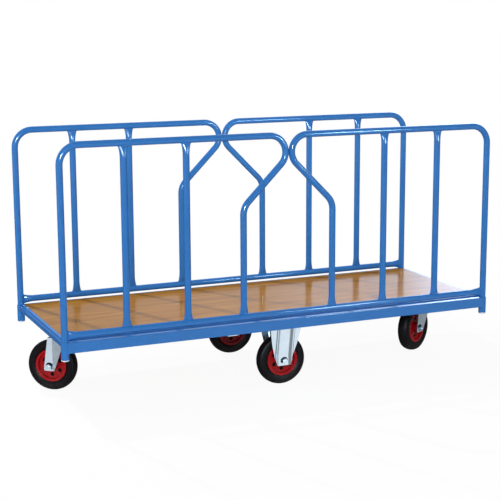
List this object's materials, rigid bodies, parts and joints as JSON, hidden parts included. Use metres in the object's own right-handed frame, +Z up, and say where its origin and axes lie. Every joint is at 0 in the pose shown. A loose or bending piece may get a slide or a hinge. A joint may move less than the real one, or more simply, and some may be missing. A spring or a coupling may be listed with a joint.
{
  "type": "long load trolley",
  "caption": "Flat-deck trolley for long loads: wooden deck in a tube chassis, bent-tube side frames that drop into corner sockets, fixed castors at mid-length and swivel castors at the ends.",
  "frame": {"origin": "on the floor under the middle of the deck", "axes": "+X along the trolley towards its front, +Y to its left side, +Z up"},
  "size_m": [1.8252, 0.69, 1],
  "materials": {
    "blue_enamel": "gloss enamel",
    "zinc_plate": "bright zinc plate",
    "bare_steel": "oiled steel",
    "red_enamel": "gloss enamel",
    "black_tyre": "satin rubber",
    "varnished_wood": "varnished board",
    "pale_plastic": "moulded plastic"
  },
  "bodies": {
    "chassis": {"castor_bolts": "zinc_plate", "castor_nuts": "zinc_plate", "centre_castor_bearer": "blue_enamel", "deck_bearers": "blue_enamel", "deck_board": "varnished_wood", "deck_edging": "blue_enamel", "deck_screws": "zinc_plate", "fixed_axle_bolts": "zinc_plate", "fixed_axle_nuts": "zinc_plate", "fixed_axle_sleeves": "bare_steel", "front_castor_bearer": "blue_enamel", "front_end_rail": "blue_enamel", "king_pins": "zinc_plate", "left_fixed_fork": "zinc_plate", "left_front_socket": "blue_enamel", "left_rear_socket": "blue_enamel", "left_side_beam": "blue_enamel", "rear_castor_bearer": "blue_enamel", "rear_end_rail": "blue_enamel", "right_fixed_fork": "zinc_plate", "right_front_socket": "blue_enamel", "right_rear_socket": "blue_enamel", "right_side_beam": "blue_enamel", "socket_plugs": "pale_plastic", "swivel_plates": "zinc_plate", "swivel_races": "zinc_plate"},
    "right_side_frame": {"right_bottom_rail": "blue_enamel", "right_front_hoop": "blue_enamel", "right_front_middle_post": "blue_enamel", "right_front_outer_post": "blue_enamel", "right_rear_hoop": "blue_enamel", "right_rear_middle_post": "blue_enamel", "right_rear_outer_post": "blue_enamel"},
    "left_side_frame": {"left_bottom_rail": "blue_enamel", "left_front_hoop": "blue_enamel", "left_front_middle_post": "blue_enamel", "left_front_outer_post": "blue_enamel", "left_rear_hoop": "blue_enamel", "left_rear_middle_post": "blue_enamel", "left_rear_outer_post": "blue_enamel"},
    "front_swivel": {"front_swivel_fork": "zinc_plate", "front_axle_bolt": "zinc_plate", "front_axle_nut": "zinc_plate", "front_axle_sleeve": "bare_steel"},
    "rear_swivel": {"rear_swivel_fork": "zinc_plate", "rear_axle_bolt": "zinc_plate", "rear_axle_nut": "zinc_plate", "rear_axle_sleeve": "bare_steel"},
    "right_wheel": {"right_wheel_rim": "red_enamel", "right_wheel_tyre": "black_tyre", "right_wheel_bearing": "bare_steel"},
    "left_wheel": {"left_wheel_rim": "red_enamel", "left_wheel_tyre": "black_tyre", "left_wheel_bearing": "bare_steel"},
    "front_wheel": {"front_wheel_rim": "red_enamel", "front_wheel_tyre": "black_tyre", "front_wheel_bearing": "bare_steel"},
    "rear_wheel": {"rear_wheel_rim": "red_enamel", "rear_wheel_tyre": "black_tyre", "rear_wheel_bearing": "bare_steel"}
  },
  "joints": [
    {"name": "right_frame_lift", "type": "slide", "parent": "chassis", "child": "right_side_frame", "axis": [0, 0, 1], "range_m": [0, 0.08]},
    {"name": "left_frame_lift", "type": "slide", "parent": "chassis", "child": "left_side_frame", "axis": [0, 0, 1], "range_m": [0, 0.08]},
    {"name": "front_swivel_turn", "type": "hinge", "parent": "chassis", "child": "front_swivel", "pos_m": [0.7915, 0, 0.211], "axis": [0, 0, 1], "continuous": true},
    {"name": "rear_swivel_turn", "type": "hinge", "parent": "chassis", "child": "rear_swivel", "pos_m": [-0.7915, 0, 0.211], "axis": [0, 0, 1], "continuous": true},
    {"name": "right_wheel_spin", "type": "hinge", "parent": "chassis", "child": "right_wheel", "pos_m": [0, -0.254, 0.1], "axis": [0, 1, 0], "continuous": true},
    {"name": "left_wheel_spin", "type": "hinge", "parent": "chassis", "child": "left_wheel", "pos_m": [0, 0.254, 0.1], "axis": [0, 1, 0], "continuous": true},
    {"name": "front_wheel_spin", "type": "hinge", "parent": "front_swivel", "child": "front_wheel", "pos_m": [0.73928, -0.02954, 0.1], "axis": [-0.4924, 0.8704, 0], "continuous": true},
    {"name": "rear_wheel_spin", "type": "hinge", "parent": "rear_swivel", "child": "rear_wheel", "pos_m": [-0.83746, 0.03857, 0.1], "axis": [0.6428, 0.766, 0], "continuous": true}
  ]
}
